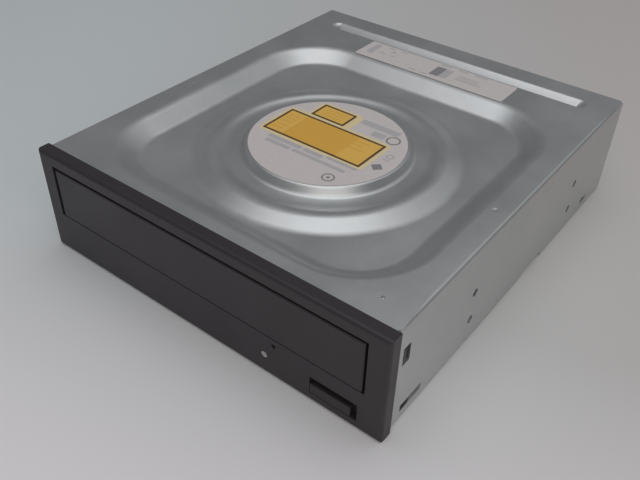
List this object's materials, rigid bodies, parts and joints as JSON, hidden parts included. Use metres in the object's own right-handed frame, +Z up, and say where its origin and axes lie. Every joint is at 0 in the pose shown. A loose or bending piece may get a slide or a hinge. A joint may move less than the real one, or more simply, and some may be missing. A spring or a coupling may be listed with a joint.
{
  "type": "internal optical disc writer",
  "caption": "Half-height internal DVD writer: sheet-steel box with a pressed round cover relief, a black bezel with a sliding disc tray, an eject button and a rear power and data socket.",
  "frame": {"origin": "middle of the footprint, on the surface that the underside rests on", "axes": "+X to the right seen from the front, +Y from the bezel to the rear, +Z up; the tray slides out along -Y"},
  "size_m": [0.148, 0.17, 0.042],
  "materials": {
    "galvanised_steel": "satin zinc-coated sheet",
    "bezel_plastic": "fine texture, near black",
    "frame_plastic": "moulded, matt",
    "tray_plastic": "moulded, matt",
    "gear_plastic": "natural acetal",
    "brass_pulley": "turned",
    "polished_steel": "ground and polished",
    "motor_steel": "plated",
    "screw_steel": "zinc plated",
    "belt_rubber": "matt",
    "table_plastic": "matt",
    "diecast_zinc": "cast",
    "lens_glass": "coated",
    "magnet": "sintered",
    "light_plastic": "clear",
    "circuit_board": "solder mask",
    "chip_plastic": "matt",
    "socket_plastic": "natural",
    "gold_contacts": "gold flash",
    "label_paper": "coated paper"
  },
  "bodies": {
    "drive_body": {"top_cover": "galvanised_steel", "bottom_cover": "galvanised_steel", "clamp_bridge": "galvanised_steel", "front_bezel": "bezel_plastic", "loader_frame": "frame_plastic", "loading_motor": "motor_steel", "motor_screws": "screw_steel", "bridge_screws": "screw_steel", "board_screws": "screw_steel", "bottom_screws": "screw_steel", "drive_belt": "belt_rubber", "eject_switch": "table_plastic", "status_light": "light_plastic", "light_pipe": "light_plastic", "front_board": "circuit_board", "main_board": "circuit_board", "controller_chip": "chip_plastic", "driver_chip": "chip_plastic", "memory_chip": "chip_plastic", "ribbon_sockets": "socket_plastic", "capacitors": "motor_steel", "front_ribbon": "socket_plastic", "rear_socket": "table_plastic", "socket_contacts": "gold_contacts", "round_label": "label_paper", "rear_label": "label_paper"},
    "tray": {"disc_tray": "tray_plastic", "tray_door": "bezel_plastic"},
    "drive_gear": {"drive_gear": "gear_plastic"},
    "pulley_gear": {"pulley_gear": "gear_plastic"},
    "motor_rotor": {"motor_pulley": "brass_pulley", "motor_shaft": "polished_steel"},
    "traverse": {"lift_frame": "frame_plastic", "damper_grommets": "belt_rubber", "grommet_screws": "screw_steel", "traverse_plate": "galvanised_steel", "guide_rods": "polished_steel", "spindle_motor": "motor_steel", "sled_motor": "motor_steel"},
    "turntable": {"turntable": "table_plastic", "turntable_pad": "belt_rubber"},
    "sled": {"pickup_base": "diecast_zinc", "pickup_cover": "table_plastic", "objective_lens": "lens_glass"},
    "lead_screw": {"lead_screw": "polished_steel"},
    "cam_slider": {"cam_slider": "gear_plastic"},
    "clamper": {"clamper": "table_plastic", "clamper_magnet": "magnet", "clamper_yoke": "motor_steel"},
    "eject_button": {"eject_button": "bezel_plastic"}
  },
  "joints": [
    {"name": "tray_slide", "type": "slide", "parent": "drive_body", "child": "tray", "axis": [0, -1, 0], "range_m": [0, 0.13]},
    {"name": "drive_gear_spin", "type": "hinge", "parent": "drive_body", "child": "drive_gear", "pos_m": [-0.051, -0.063, 0.0194], "axis": [0, 0, 1], "continuous": true},
    {"name": "pulley_gear_spin", "type": "hinge", "parent": "drive_body", "child": "pulley_gear", "pos_m": [-0.03357, -0.06545, 0.0163], "axis": [0, 0, 1], "continuous": true},
    {"name": "motor_spin", "type": "hinge", "parent": "drive_body", "child": "motor_rotor", "pos_m": [0.002, -0.064, 0.0163], "axis": [0, 0, 1], "continuous": true},
    {"name": "traverse_lift", "type": "hinge", "parent": "drive_body", "child": "traverse", "pos_m": [0, 0.068, 0.016], "axis": [-1, 0, 0], "range_deg": [0, 4.5]},
    {"name": "cam_slide", "type": "slide", "parent": "drive_body", "child": "cam_slider", "axis": [1, 0, 0], "range_m": [0, 0.012]},
    {"name": "turntable_spin", "type": "hinge", "parent": "traverse", "child": "turntable", "pos_m": [0, -0.01562, 0.02447], "axis": [0, -0.0785, 0.9969], "continuous": true},
    {"name": "sled_slide", "type": "slide", "parent": "traverse", "child": "sled", "axis": [0, 0.9969, 0.0785], "range_m": [0, 0.035]},
    {"name": "lead_screw_spin", "type": "hinge", "parent": "traverse", "child": "lead_screw", "pos_m": [0.0342, 0.00789, 0.01889], "axis": [0, 0.9969, 0.0785], "continuous": true},
    {"name": "clamper_spin", "type": "hinge", "parent": "drive_body", "child": "clamper", "pos_m": [0, -0.0147, 0.0332], "axis": [0, 0, 1], "continuous": true},
    {"name": "eject_press", "type": "slide", "parent": "drive_body", "child": "eject_button", "axis": [0, 1, 0], "range_m": [0, 0.001], "stiffness_N_per_m": 400}
  ],
  "couplings": [
    {"joint": "drive_gear_spin", "follows": "tray_slide", "rad_per_m": 125},
    {"joint": "pulley_gear_spin", "follows": "tray_slide", "rad_per_m": -267.86},
    {"joint": "motor_spin", "follows": "tray_slide", "rad_per_m": -901.79},
    {"joint": "cam_slide", "follows": "traverse_lift", "m_per_rad": 0.15279},
    {"joint": "lead_screw_spin", "follows": "sled_slide", "rad_per_m": 2094.4}
  ]
}
